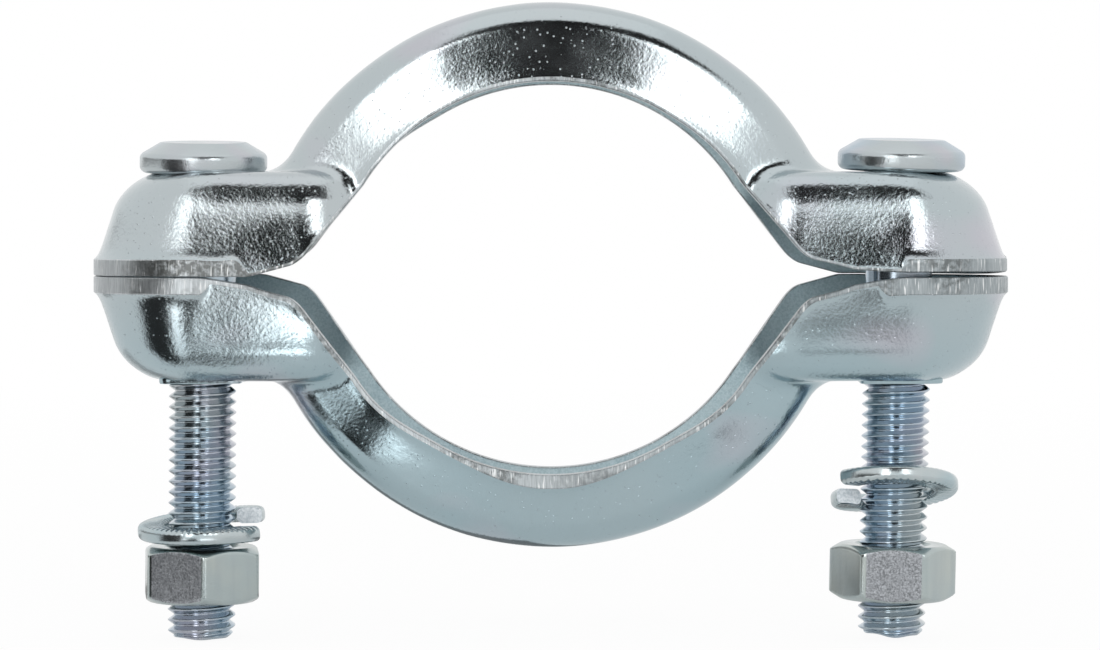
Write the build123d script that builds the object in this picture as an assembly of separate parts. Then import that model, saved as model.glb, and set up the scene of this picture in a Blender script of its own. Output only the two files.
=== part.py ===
"""Two-piece pipe clamp pressed from steel sheet, with its bolts, spring washers and nuts.

Frame: X runs across the clamp from the left bolt to the right bolt, Y runs back along
the pipe's axis, and Z is up. The origin is the middle of the plane where the two halves
meet. Lengths are in millimetres and angles in degrees.
"""

import os
from math import atan2, cos, degrees, radians, sin, sqrt, tan

from build123d import *

# --- The pipe and the ring that goes round it -------------------------------------------
PIPE_RADIUS = 26.0          # outside of the pipe, and the rims that bear on it
TIGHT_GAP = 6.2             # space left between the halves once they close on the pipe
RING_DEPTH = 8.8            # from the rims out to the crown, along a radius
RIM_WIDTH = 15.0            # across the two rims, outside to outside
RING_DRAFT = 15.0           # lean of each side wall
CROWN_ROUND = 3.0           # outside rounding between a side wall and the crown
CORE_RADIUS = 15.0          # how far in the ring's forms run before they are trimmed

# --- The sheet ---------------------------------------------------------------------------
SHEET = 2.2
CLOSED_GAP = 0.1            # between the halves' edges when they are pushed together

# --- The ears that the bolts go through --------------------------------------------------
BOLT_SPACING = 81.6         # between the two bolts' axes
EAR_HEIGHT = 12.1           # from the edge to the flat top
EAR_RADIUS = 12.9           # of the rounded end, at the edge
EAR_DRAFT = 18.0            # lean of the ear's walls
EAR_ROUND = 4.5             # outside rounding round the flat top
EAR_SHOULDER = 9.8          # from a bolt's axis to where the ear starts to narrow
EAR_MARGIN = 0.85           # by which its inner end stands out past a rim on each side
EAR_REACH = 22.3            # from a bolt's axis to the ear's inner end
EAR_CORNER_ROUND = 6.0      # of the ear's outline where it starts to narrow
EAR_BLEND = 3.5             # inside corner between the ring's crown and the ear's top

# --- The trimmed edge --------------------------------------------------------------------
EDGE_LEAVES = 34.5          # half width at which the edge leaves the mating plane
EDGE_CORNER_X = 28.9        # half width of the corner after that
EDGE_CORNER_Z = 1.5         # height of that corner
EDGE_MEETS_ARC = 21.7       # half width at which the edge joins the rim
EDGE_ROUND = 2.5            # rounding of that corner
LIP_HEIGHT = 1.9            # trimmed lip round an ear's end
LIP_TRIM = 0.15             # by which the lip's outside is trimmed inside the ear's radius
LIP_REACH = 1.5             # how far the lip runs in past the bolt's axis

# --- The square holes --------------------------------------------------------------------
NECK_SIDE = 8.0             # square neck under a bolt's head
NECK_CLEARANCE = 0.35       # on each side of the neck, which lets a bolt lean
HOLE_CORNER_ROUND = 0.6
BURR_WALL = 0.5             # raised burr round a hole
BURR_HEIGHT = 0.5

# --- The bolts ---------------------------------------------------------------------------
SHANK_RADIUS = 3.95
BOLT_LENGTH = 55.0          # under the head
HEAD_RADIUS = 7.45
HEAD_HEIGHT = 3.4
HEAD_FLAT_RADIUS = 5.0      # flat top
HEAD_RIM_HEIGHT = 2.0       # straight part of the rim before its roundings
HEAD_RIM_ROUND = 0.9
HEAD_TOP_ROUND = 0.5
BOLT_END_CHAMFER = 0.5
BOLT_LEFT_LEAN = 0.4        # slack lean in its holes, lower end towards -X
BOLT_RIGHT_LEAN = 1.1

# --- The thread --------------------------------------------------------------------------
THREAD_PITCH = 1.25
THREAD_DEPTH = 0.7          # from crest to root
THREAD_CREST = 0.2          # width left standing between two turns of the groove
THREAD_ROOT = 0.3           # width of the groove's bottom
THREAD_START = 21.5         # from the head's underside to where the groove runs out

# --- The nuts ----------------------------------------------------------------------------
NUT_ACROSS_FLATS = 13.0
NUT_HEIGHT = 6.5
NUT_CLEARANCE = 0.05        # between the shank and the nut's bore
NUT_BEVEL_ANGLE = 30.0      # of the bevels that round its corners off
NUT_FACE_RADIUS = 6.1       # of the flat that the bevels leave
NUT_MOUTH = 0.5             # countersink at each end of the bore
NUT_LEFT_STANDOUT = 4.4     # thread standing out below the left nut
NUT_RIGHT_STANDOUT = 4.2
NUT_LEFT_TURN = -85.5       # direction of one of its corners
NUT_RIGHT_TURN = -56.4

# --- The spring washers ------------------------------------------------------------------
WASHER_RADIUS = 7.5
WASHER_WIDTH = 3.1
WASHER_THICKNESS = 1.8
WASHER_CORNER_ROUND = 0.5
WASHER_PITCH = 2.1          # rise over one full turn
WASHER_TURN = 352.0         # angle from one cut end to the other
WASHER_LEFT_RISE = 2.05     # of the washer's middle above its nut
WASHER_RIGHT_RISE = 6.35
WASHER_LEFT_START = -22.0   # direction of its lower cut end, about the bolt
WASHER_RIGHT_START = 201.0
WASHER_LEFT_TILT = 1.0      # lift of its front
WASHER_RIGHT_TILT = 12.0
WASHER_RIGHT_ROLL = 3.0     # lift of its right side

# --- Values that follow ------------------------------------------------------------------
EAR_NARROWING = degrees(atan2(EAR_RADIUS - RIM_WIDTH / 2 - EAR_MARGIN, EAR_REACH - EAR_SHOULDER))
LIP_RADIUS = EAR_RADIUS - LIP_TRIM
RING_CENTRE_Z = -TIGHT_GAP / 2
RING_RADIUS = PIPE_RADIUS + RING_DEPTH
BOLT_X = BOLT_SPACING / 2
HOLE_SIDE = NECK_SIDE + 2 * NECK_CLEARANCE
BURR_SIDE = HOLE_SIDE + 2 * BURR_WALL
SEAT_Z = EAR_HEIGHT + BURR_HEIGHT
NECK_LENGTH = SHEET + BURR_HEIGHT
BOLT_END_Z = CLOSED_GAP / 2 + SEAT_Z - BOLT_LENGTH
NUT_LEFT_Z = BOLT_END_Z + NUT_LEFT_STANDOUT
NUT_RIGHT_Z = BOLT_END_Z + NUT_RIGHT_STANDOUT
WASHER_LEFT_Z = NUT_LEFT_Z + NUT_HEIGHT + WASHER_LEFT_RISE
WASHER_RIGHT_Z = NUT_RIGHT_Z + NUT_HEIGHT + WASHER_RIGHT_RISE
RUN = 100.0                 # length of cutting tools, past everything that they cut


def ring_form(inset):
    """Solid of revolution about the pipe's axis with a trapezoid section, inset all over."""
    lean = tan(radians(RING_DRAFT))
    thin = inset / cos(radians(RING_DRAFT))
    crown = RING_RADIUS - inset

    def half_width(radius):
        return RIM_WIDTH / 2 - (radius - PIPE_RADIUS) * lean - thin

    section = Polyline(
        (-half_width(CORE_RADIUS), RING_CENTRE_Z + CORE_RADIUS),
        (-half_width(crown), RING_CENTRE_Z + crown),
        (half_width(crown), RING_CENTRE_Z + crown),
        (half_width(CORE_RADIUS), RING_CENTRE_Z + CORE_RADIUS),
        close=True,
    )
    face = make_face(Plane.YZ * section)
    crown_corners = face.vertices().sort_by(Axis.Z)[-2:]
    face = fillet(crown_corners, CROWN_ROUND - inset)
    return revolve(face, Axis((0, 0, RING_CENTRE_Z), (0, 1, 0)), 360)


def ear_outline(radius, inner_half_width):
    """Outline of an ear on the plane of its edge, about the right bolt's axis."""
    shoulder = BOLT_X - EAR_SHOULDER
    inner = BOLT_X - EAR_REACH
    line = Polyline(
        (BOLT_X, radius),
        (shoulder, radius),
        (inner, inner_half_width),
        (inner, -inner_half_width),
        (shoulder, -radius),
        (BOLT_X, -radius),
    )
    end = ThreePointArc((BOLT_X, -radius), (BOLT_X + radius, 0), (BOLT_X, radius))
    face = make_face(line + end)
    shoulders = face.vertices().filter_by(lambda v: abs(v.X - shoulder) < SHEET)
    return fillet(shoulders, EAR_CORNER_ROUND)


def ear_form(inset):
    """Right ear's drafted block with a rounded top, inset all over."""
    draft = radians(EAR_DRAFT)
    thin = inset / cos(draft)
    narrowing = radians(EAR_NARROWING)
    closed_in = (EAR_REACH - EAR_SHOULDER) * tan(narrowing)
    radius = EAR_RADIUS - thin
    inner_half_width = EAR_RADIUS - closed_in - thin / cos(narrowing)
    outline = ear_outline(radius, inner_half_width)
    block = extrude(outline, EAR_HEIGHT - inset, taper=EAR_DRAFT)
    top = block.faces().sort_by(Axis.Z)[-1]
    return fillet(top.edges(), EAR_ROUND - inset)


def blended(form, top_z, radius):
    """Rounds the inside corners where the ring's crown rises out of the ears' flat tops."""
    corners = form.edges().filter_by(
        lambda e: abs(e.center().Z - top_z) < CLOSED_GAP and abs(e.center().Y) < CLOSED_GAP
        and abs(e.center().X) < BOLT_X - EAR_ROUND)
    return fillet(corners, radius)


def under_edge():
    """Everything below the trimmed edge, as one prism through the part."""
    def point(half_width, z):
        return [(half_width, z), (-half_width, z)]

    rim_z = RING_CENTRE_Z + sqrt(PIPE_RADIUS ** 2 - EDGE_MEETS_ARC ** 2)
    leaves = point(EDGE_LEAVES, 0)
    corner = point(EDGE_CORNER_X, EDGE_CORNER_Z)
    meets = point(EDGE_MEETS_ARC, rim_z)
    far = point(RUN, 0)
    deep = point(RUN, -RUN)
    path = Polyline(meets[0], corner[0], leaves[0], far[0], deep[0], deep[1], far[1],
                    leaves[1], corner[1], meets[1])
    arc = ThreePointArc(meets[1], (0, RING_CENTRE_Z + PIPE_RADIUS), meets[0])
    face = make_face(path + arc)
    corners = face.vertices().filter_by(
        lambda v: abs(abs(v.X) - EDGE_CORNER_X) < EDGE_CORNER_Z / 2 and abs(v.Y - EDGE_CORNER_Z) < EDGE_CORNER_Z / 2)
    face = fillet(corners, EDGE_ROUND)
    prism = extrude(Plane.XZ * face, RUN, both=True)
    return prism


def lip():
    """Trimmed lip round the right ear's end, filled in, up to its height."""
    inner_x = BOLT_X - LIP_REACH
    line = Polyline((BOLT_X, -LIP_RADIUS), (inner_x, -LIP_RADIUS), (inner_x, LIP_RADIUS),
                    (BOLT_X, LIP_RADIUS))
    end = ThreePointArc((BOLT_X, LIP_RADIUS), (BOLT_X + LIP_RADIUS, 0), (BOLT_X, -LIP_RADIUS))
    return extrude(make_face(line + end), LIP_HEIGHT, dir=(0, 0, 1))


def clamp_half():
    """One pressed half, edge down on the plane Z = 0."""
    ear = ear_form(0)
    outside = blended(ring_form(0) + ear + mirror(ear, Plane.YZ), EAR_HEIGHT, EAR_BLEND)
    ear_inside = ear_form(SHEET)
    inside = ring_form(SHEET) + ear_inside + mirror(ear_inside, Plane.YZ)

    keep = Pos(0, 0, RUN / 2) * Box(2 * BOLT_X, RUN, RUN)
    for side in (-1, 1):
        keep += Pos(side * BOLT_X, 0, RUN / 2) * Cylinder(LIP_RADIUS, RUN)
    edge_lip = lip()
    edge_lips = edge_lip + mirror(edge_lip, Plane.YZ)

    half = (outside & keep) + edge_lips - inside - under_edge()

    burr = extrude(RectangleRounded(BURR_SIDE, BURR_SIDE, HOLE_CORNER_ROUND + BURR_WALL), NECK_LENGTH)
    hole = extrude(RectangleRounded(HOLE_SIDE, HOLE_SIDE, HOLE_CORNER_ROUND), RUN)
    for side in (-1, 1):
        half += Pos(side * BOLT_X, 0, SEAT_Z - NECK_LENGTH) * burr
    for side in (-1, 1):
        half -= Pos(side * BOLT_X, 0, SEAT_Z - NECK_LENGTH - SHEET) * hole
    return half


def thread_groove():
    """Cutter for the thread: a V with a flat bottom, swept along a right-hand helix."""
    length = BOLT_LENGTH - THREAD_START + THREAD_PITCH
    path = Helix(THREAD_PITCH, length, SHANK_RADIUS)
    flank = (THREAD_PITCH - THREAD_CREST - THREAD_ROOT) / 2 / THREAD_DEPTH
    outside = THREAD_ROOT / 2 + flank * (THREAD_DEPTH + NUT_CLEARANCE)
    section = Polyline(
        (-THREAD_DEPTH, -THREAD_ROOT / 2),
        (NUT_CLEARANCE, -outside),
        (NUT_CLEARANCE, outside),
        (-THREAD_DEPTH, THREAD_ROOT / 2),
        close=True,
    )
    at_start = Plane(origin=path @ 0, x_dir=(1, 0, 0), z_dir=path % 0)
    groove = sweep(at_start * make_face(section), path, is_frenet=True)
    return Pos(0, 0, -BOLT_LENGTH - THREAD_PITCH) * groove


def bolt():
    """Bolt with its head's underside on Z = 0 and its axis down."""
    profile = Polyline(
        (0, HEAD_HEIGHT),
        (HEAD_FLAT_RADIUS, HEAD_HEIGHT),
        (HEAD_RADIUS, HEAD_RIM_HEIGHT),
        (HEAD_RADIUS, 0),
        (SHANK_RADIUS, 0),
        (SHANK_RADIUS, BOLT_END_CHAMFER - BOLT_LENGTH),
        (SHANK_RADIUS - BOLT_END_CHAMFER, -BOLT_LENGTH),
        (0, -BOLT_LENGTH),
        close=True,
    )
    face = make_face(profile)
    rim = face.vertices().filter_by(lambda v: abs(v.X - HEAD_RADIUS) < BOLT_END_CHAMFER)
    face = fillet(rim, HEAD_RIM_ROUND)
    edge = face.vertices().filter_by(
        lambda v: abs(v.X - HEAD_FLAT_RADIUS) < BOLT_END_CHAMFER and v.Y > HEAD_RIM_HEIGHT)
    face = fillet(edge, HEAD_TOP_ROUND)
    body = revolve(Plane.XZ * face, Axis.Z, 360)
    neck = Pos(0, 0, -NECK_LENGTH) * extrude(
        RectangleRounded(NECK_SIDE, NECK_SIDE, HOLE_CORNER_ROUND), NECK_LENGTH)
    return body - thread_groove() + neck


def hex_nut(turn):
    """Hexagon nut standing on Z = 0, both ends bevelled, with a corner at the angle turn."""
    corner_radius = NUT_ACROSS_FLATS / 2 / cos(radians(30))
    bevel = (corner_radius - NUT_FACE_RADIUS) * tan(radians(NUT_BEVEL_ANGLE))
    bore = SHANK_RADIUS + NUT_CLEARANCE
    prism = extrude(RegularPolygon(corner_radius, 6, rotation=turn), NUT_HEIGHT)
    profile = Polyline(
        (bore + NUT_MOUTH, 0),
        (NUT_FACE_RADIUS, 0),
        (corner_radius, bevel),
        (corner_radius, NUT_HEIGHT - bevel),
        (NUT_FACE_RADIUS, NUT_HEIGHT),
        (bore + NUT_MOUTH, NUT_HEIGHT),
        (bore, NUT_HEIGHT - NUT_MOUTH),
        (bore, NUT_MOUTH),
        close=True,
    )
    return prism & revolve(Plane.XZ * make_face(profile), Axis.Z, 360)


def spring_washer(start, tilt, roll):
    """Split spring washer about the origin, its lower cut end in the direction start."""
    middle = WASHER_RADIUS - WASHER_WIDTH / 2
    height = WASHER_PITCH * WASHER_TURN / 360
    path = Helix(WASHER_PITCH, height, middle, lefthand=True)
    at_start = Plane(origin=path @ 0, x_dir=(1, 0, 0), z_dir=path % 0)
    section = at_start * RectangleRounded(WASHER_WIDTH, WASHER_THICKNESS, WASHER_CORNER_ROUND)
    coil = sweep(section, path, is_frenet=True)
    coil = Pos(0, 0, -height / 2) * coil
    return Rot(tilt, roll, 0) * Rot(0, 0, start) * coil


half = clamp_half()
upper = Pos(0, 0, CLOSED_GAP / 2) * half
lower = Rot(0, 180, 0) * upper

seat = CLOSED_GAP / 2 + SEAT_Z


def on_bolt(side, lean, z):
    """Place on a bolt's leaning axis; the lean turns it about the mating plane."""
    lift = BURR_SIDE / 2 * sin(radians(lean))
    return Pos(side * BOLT_X, 0, 0) * Rot(0, lean, 0) * Pos(0, 0, z + lift)


parts = {
    "clamp_half_upper": upper,
    "clamp_half_lower": lower,
    "bolt_left": on_bolt(-1, BOLT_LEFT_LEAN, seat) * bolt(),
    "bolt_right": on_bolt(1, BOLT_RIGHT_LEAN, seat) * bolt(),
    "spring_washer_left": on_bolt(-1, BOLT_LEFT_LEAN, WASHER_LEFT_Z)
    * spring_washer(WASHER_LEFT_START, -WASHER_LEFT_TILT, 0),
    "spring_washer_right": on_bolt(1, BOLT_RIGHT_LEAN, WASHER_RIGHT_Z)
    * spring_washer(WASHER_RIGHT_START, -WASHER_RIGHT_TILT, -WASHER_RIGHT_ROLL),
    "hex_nut_left": on_bolt(-1, BOLT_LEFT_LEAN, NUT_LEFT_Z) * hex_nut(NUT_LEFT_TURN),
    "hex_nut_right": on_bolt(1, BOLT_RIGHT_LEAN, NUT_RIGHT_Z) * hex_nut(NUT_RIGHT_TURN),
}

os.makedirs("parts", exist_ok=True)
for name, shape in parts.items():
    export_step(shape, "parts/" + name + ".step")
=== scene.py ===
"""Two-piece pipe clamp: pressed and zinc plated halves, threaded bolts, spring washers, nuts.

Lengths are in metres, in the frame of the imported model: X runs across the clamp, Y runs
back along the pipe and Z is up.
"""

import math

import bmesh
import bpy
import numpy as np
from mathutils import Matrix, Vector


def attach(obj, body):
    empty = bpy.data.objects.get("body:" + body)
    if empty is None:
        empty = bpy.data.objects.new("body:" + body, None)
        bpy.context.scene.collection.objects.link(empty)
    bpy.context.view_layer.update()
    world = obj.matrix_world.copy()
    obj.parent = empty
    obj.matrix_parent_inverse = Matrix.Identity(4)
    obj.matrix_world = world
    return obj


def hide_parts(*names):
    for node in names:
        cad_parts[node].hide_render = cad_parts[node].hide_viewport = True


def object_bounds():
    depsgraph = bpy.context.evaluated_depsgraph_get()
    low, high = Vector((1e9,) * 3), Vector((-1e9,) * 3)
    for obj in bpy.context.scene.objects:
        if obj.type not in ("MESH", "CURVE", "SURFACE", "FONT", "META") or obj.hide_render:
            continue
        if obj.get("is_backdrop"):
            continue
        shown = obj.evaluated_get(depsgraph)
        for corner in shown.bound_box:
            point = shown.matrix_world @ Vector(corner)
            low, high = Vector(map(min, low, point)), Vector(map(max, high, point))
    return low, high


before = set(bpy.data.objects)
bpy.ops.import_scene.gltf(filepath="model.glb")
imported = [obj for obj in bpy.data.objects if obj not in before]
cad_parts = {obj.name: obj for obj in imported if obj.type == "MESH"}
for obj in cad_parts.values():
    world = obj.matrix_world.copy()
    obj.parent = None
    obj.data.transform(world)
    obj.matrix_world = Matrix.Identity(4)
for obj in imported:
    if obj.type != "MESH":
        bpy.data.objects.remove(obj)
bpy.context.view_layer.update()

bl_info = {
    "name": "Pressed Pipe Clamp",
    "version": (1, 0, 0),
    "blender": (4, 5, 0),
    "location": "3D View > Sidebar > Clamp",
    "description": "Builds the dressed pieces of a two-piece pressed pipe clamp",
    "category": "Add Mesh",
}

MM = 0.001
UM = 0.000001
FRONT, BACK = -math.pi / 2, math.pi / 2
WHITE = (1.0, 1.0, 1.0, 1.0)
MERGE = 0.2 * UM            # points nearer than this are one
SEARCH_STEPS = 34           # halvings when a wall is looked for along a line
SEARCH_REACH = 30 * MM      # how far along the line it is looked for

# Where a half's shape changes. These are half widths, unless the line says otherwise.
SIDE_ENDS = 38 * MM         # an ear's sides turn into its round end
HOLLOW_ENDS = 45 * MM       # the hollow and the ridge on the sides have died out
ROUND_FULL = 49 * MM        # an ear's edge has the rounding of its end
LIP_NARROWS = 30 * MM       # the lip starts to draw in to its radius about the bolt
OPENS = 0.68, 0.84          # width over radius, where the ring's walls open out
BLEND_FADES = 3 * MM, 8 * MM            # along the pipe, where the blend narrows
EDGE_POINTS, RING_LEANS = 1200, 30      # that the edge and the lean round the ring have
SLOPE_STARTS = 13 * MM, 21 * MM         # the edge's slope from ring to ear comes in
SLOPE_ENDS = 32 * MM, 41 * MM           # and dies out
LIFT_STARTS = 20 * MM, 36 * MM          # the lift of one ear's edge comes in
FACES_FRONT = -0.6, 0.3     # share of the heading that is towards the front, for the lift
RING_LIP = 1 * MM, 12 * MM  # the lip under the ring dies out
LIP_WOBBLE = 0.06, 0.9      # share of the lip's height, and radians in a millimetre of edge
LEAST_LEDGE = 0.02 * MM     # width of a lip that has all but died out
WAVE_LENGTH, RIPPLE_LENGTH = 13 * MM, 3.1 * MM      # of the sheet's unevenness
HOLE_CORNER = 0.6 * MM      # rounding of the square holes and necks

# Points in a ring, rings in a pitch and along a washer, and what the nuts' grain covers.
BOLT_COLUMNS, NUT_COLUMNS, HOLE_COLUMNS, BURR_COLUMNS = 72, 240, 48, 96
PER_PITCH, WASHER_ROWS = 18, 520
OUTLINE_STEP = 0.24 * MM    # between the points of a washer's section
FLANK = 1.22, 0.10, 1.1     # steepness of a thread's flank, half of its crest, and its power
GRAIN_HALF = math.radians(26)

# The stage.
AWAY = 2.0                  # from the clamp to the lamps and cards
FLOOR_REACH = 3.0
FLOOR_DROP, LAMP_RISE = 0.2 * MM, 0.4 * MM      # under and over the clamp's lowest point
FLOOR_MIRRORED = 0.35       # how white the floor is in mirrors
FLOOR_FADES = 0.15, 0.60    # where it turns from nearly white to white
FLOOR_NEAR, WORLD_LEVEL = 0.94, 0.85    # the floor by the clamp, and the world's light
CLIPS = 0.01, 20.0          # of the camera
SENSOR_WIDTH = 36.0         # in millimetres


# --- Sizes and colours that a user would change ------------------------------------------
def length(name, value, text):
    """Length property with a default in millimetres."""
    return bpy.props.FloatProperty(name=name, description=text, default=value * MM,
                                   unit="LENGTH", subtype="DISTANCE", precision=5)


def angle(name, value, text):
    """Angle property with a default in degrees."""
    return bpy.props.FloatProperty(name=name, description=text, default=math.radians(value),
                                   unit="ROTATION", subtype="ANGLE")


def colour(name, value, text):
    """Colour property."""
    return bpy.props.FloatVectorProperty(name=name, description=text, default=value,
                                         subtype="COLOR", size=3, min=0, max=1)


def amount(name, value, text):
    """Plain number property."""
    return bpy.props.FloatProperty(name=name, description=text, default=value)


def group(kind, name, text):
    """Pointer to a property group."""
    return bpy.props.PointerProperty(type=kind, name=name, description=text)


class PressingSizes(bpy.types.PropertyGroup):
    """Sizes of one pressed half."""
    rim_upper: length("Upper rim", 25.6, "Radius of the upper half's rims")
    rim_lower: length("Lower rim", 26.0, "Radius of the lower half's rims")
    centre: length("Ring centre", -3.1, "Height of the ring's centre above the half's edge")
    crown: length("Crown", 34.8, "Outside radius of the ring")
    crown_upper: length("Upper crown", 34.95, "Outside radius of the upper ring")
    rim_width: length("Rim width", 15, "Across the two rims")
    ring_draft: angle("Ring draft", 15, "Lean of the ring's side walls")
    crown_round: length("Crown round", 3.2, "Rounding between the ring's walls and crown")
    sheet: length("Sheet", 2.2, "Thickness of the steel")
    gap: length("Gap", 0.1, "Between the halves when they are pushed together")
    bolt_x: length("Bolt position", 40.8, "Half of the spacing of the bolts")
    ear_height: length("Ear height", 12.1, "Height of an ear's flat top")
    ear_radius: length("Ear radius", 12.9, "Radius of an ear's round end")
    ear_draft: angle("Ear draft", 18, "Lean of an ear's walls")
    ear_round: length("Ear round", 4.5, "Rounding round the top of an ear's end")
    side_round: length("Side round", 2.1, "Rounding along the top of an ear's sides")
    wave: length("Wave", 0.09, "Height of the slow waves that pressing leaves")
    ripple: length("Ripple", 0.014, "Height of the small ripples")
    draw_line: length("Draw line", 0.10, "Depth of the hollow along an ear's walls")
    draw_height: length("Draw height", 5.0, "Height of the hollow above the half's edge")
    draw_width: length("Draw width", 2.0, "Width of the hollow")
    ridge: length("Ridge", 0.17, "Height of the ridge under an ear's upper edge")
    ridge_height: length("Ridge height", 8.7, "Height at which the ridge runs")
    ridge_width: length("Ridge width", 1.1, "Width of the ridge")
    ear_shoulder: length("Ear shoulder", 16.0, "From the bolt's axis to where the ear narrows")
    ear_narrowing: angle("Ear narrowing", 40, "Angle at which the ear's sides close in")
    shoulder_round: length("Shoulder round", 2.4, "Width over which the shoulder is rounded")
    blend: length("Blend", 2.6, "Width over which ring and ear run into each other")
    blend_loss: amount("Blend loss", 0.55, "Share of the blend that is gone at the walls")
    lip_radius: length("Lip radius", 12.75, "Radius of the trimmed lip about the bolt")
    lip_flare: amount("Lip flare", 0.75, "Share of the lip's ledge that the wall flares over")
    flare_height: length("Flare height", 0.45, "Height over which the flare dies out")
    lip_ease: length("Lip ease", 0.12, "Easing of the lip's corners")
    edge_leaves: length("Edge leaves", 34.5, "Half width at which the edge lifts off")
    edge_corner_x: length("Edge corner", 28.9, "Half width of the edge's corner")
    edge_corner_z: length("Edge corner height", 1.5, "Height of the edge's corner")
    edge_meets: length("Edge meets rim", 21.7, "Half width at which the edge joins the rim")
    edge_round: length("Edge round", 1.2, "Width over which the edge's corner is rounded")
    edge_ease: length("Edge ease", 0.15, "Width over which the edge runs into its plane")
    corner_lean: angle("Corner lean", 23, "Lean of the section at the edge's corner")
    leaving_lean: angle("Leaving lean", 9, "Lean of the section where the edge lifts off")
    hole: length("Hole", 8.7, "Side of the square holes")
    burr_wall: length("Burr wall", 0.5, "Thickness of the burr round a hole")
    burr_height: length("Burr height", 0.5, "Height of the burr round a hole")


class BoltSizes(bpy.types.PropertyGroup):
    """Sizes of a bolt."""
    seat: length("Seat", 12.2, "Height of the head's underside")
    head_radius: length("Head radius", 7.45, "Radius of the head")
    head_height: length("Head height", 3.6, "Height of the head")
    head_flat: length("Head flat", 5.0, "Radius of the head's flat top")
    head_rim: length("Head rim", 2.15, "Height of the head's straight rim")
    neck: length("Neck", 8.0, "Side of the square neck")
    neck_length: length("Neck length", 2.3, "Length of the square neck")
    shank: length("Shank", 3.95, "Radius of the shank over the thread's crests")
    reach: length("Reach", 54.55, "Length under the head")
    thread_top: length("Thread top", 21.5, "From the seat to where the thread starts")
    pitch: length("Pitch", 1.25, "Rise of the thread in one turn")
    depth: length("Thread depth", 0.7, "From the thread's crests to its roots")
    lean_left: angle("Left lean", 0.4, "Slack lean of the left bolt")
    lean_right: angle("Right lean", 1.1, "Slack lean of the right bolt")
    nod: angle("Nod", 3, "Lean of the heads towards the front")
    drop: length("Drop", 0.25, "How much lower the left bolt sits")
    top_ease: length("Top ease", 0.6, "Rounding round the head's flat top")
    rim_ease: length("Rim ease", 0.85, "Rounding at the top of the head's rim")
    foot_ease: length("Foot ease", 0.8, "Rounding at the foot of the head's rim")
    head_waver: length("Head waver", 0.05, "How far the head is out of round")
    crest: length("Crest", 0.05, "How far the crests stand out of the plain shank")
    nick: length("Nicks", 0.025, "Depth of the nicks in the thread")
    point_height: length("Point height", 0.9, "Height of the bevel at the end")
    point_depth: length("Point depth", 0.75, "Depth of the bevel at the end")
    ragged: length("Ragged end", 1.2, "Height over which the end is uneven")
    stands_left: length("Left end", 4.4, "How far the left thread passes its nut")
    stands_right: length("Right end", 4.2, "How far the right thread passes its nut")
    lean_rest: length("Lean rest", 4.85, "Half of the burr that a leaning bolt rides up on")


class WasherSizes(bpy.types.PropertyGroup):
    """Sizes of a spring washer."""
    radius: length("Radius", 7.5, "Outside radius")
    width: length("Width", 3.1, "Width of the coil's section")
    thickness: length("Thickness", 1.8, "Thickness of the coil's section")
    corner: length("Corner", 0.62, "Rounding of the section's corners")
    pitch: length("Pitch", 2.1, "Rise of the coil in one turn")
    turn: angle("Turn", 352, "From one cut end to the other")
    groove: length("Groove", 0.09, "Depth of the drawn grooves on the faces")
    waver: length("Waver", 0.04, "How far the outside is out of round")
    rise_left: length("Left rise", 1.92, "Height of the left washer's middle over its nut")
    rise_right: length("Right rise", 6.35, "Height of the right washer's middle over its nut")


class NutSizes(bpy.types.PropertyGroup):
    """Sizes of a hexagon nut."""
    across: length("Across flats", 13, "Width across flats")
    height: length("Height", 6.5, "Height")
    bore: length("Bore", 4.0, "Radius of the bore")
    mouth: length("Mouth", 0.5, "Countersink at each end of the bore")
    face: length("Face", 6.1, "Radius of the flat ring at each end")
    bevel: angle("Bevel", 30, "Angle of the bevels")
    roundness: amount("Corner sharpness", 46, "Power that shapes the upright corners")
    soft: length("Soft edge", 0.14, "Width of the eased edges between bevels and flats")
    drop: length("Drop", 0.4, "How much lower the left nut sits")
    corner_left: angle("Left corner", -81.7, "Turn of the left nut's first corner")
    corner_right: angle("Right corner", -63.7, "Turn of the right nut's first corner")


class FinishColours(bpy.types.PropertyGroup):
    """Colours of the zinc plating."""
    zinc: colour("Zinc", (0.48, 0.525, 0.54), "Main colour of the plating")
    # Teal is also the colour of the painted shade that darkens the pressed sheet towards the bottom.
    teal: colour("Teal", (0.375, 0.485, 0.525), "Cool tint of the plating")
    lilac: colour("Lilac", (0.53, 0.50, 0.56), "Warm tint of the plating")
    grey: colour("Grey", (0.47, 0.515, 0.495), "Greenish grey of the nuts")


class StageSettings(bpy.types.PropertyGroup):
    """Floor, lamps and camera."""
    distance: length("Distance", 430, "From the camera to the middle of the clamp")
    height: angle("Height", 1.1, "Camera's angle above the horizon")
    side_light: amount("Side light", 2.6, "Brightness of the side lamps, the world being one")
    top_light: amount("Top light", 0.12, "Brightness of the lamp overhead")
    floor_light: amount("Floor light", 3.6, "Brightness of the lamps that lie on the floor")
    lens: amount("Lens", 119.9, "Focal length in millimetres")
    shift_x: amount("Shift across", -0.0009, "Sideways shift of the lens")
    shift_y: amount("Shift up", -0.0452, "Upward shift of the lens")


# --- Arrays ------------------------------------------------------------------------------
def circle(count):
    """Angles once round."""
    return np.linspace(0, 2 * math.pi, count, endpoint=False)


def grid_faces(rows, columns):
    """Quads between neighbouring points of a grid that closes on itself along its columns."""
    row = np.arange(rows - 1)[:, None] * columns
    column = np.arange(columns)[None, :]
    after = (column + 1) % columns
    corners = np.broadcast_arrays(row + column, row + after,
                                  row + columns + after, row + columns + column)
    return np.stack(corners, -1).reshape(-1, 4)


def hills(points, size, seed, waves=7):
    """Smooth uneven field: the mean of a few sine waves in seeded directions, size long."""
    draw = np.random.default_rng(seed)
    heading = draw.normal(size=(waves, 3))
    heading /= np.linalg.norm(heading, axis=1)[:, None]
    phase = draw.uniform(0, 2 * math.pi, waves)
    return np.sin(points @ heading.T * (2 * math.pi / size) + phase).sum(-1) / waves


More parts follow.
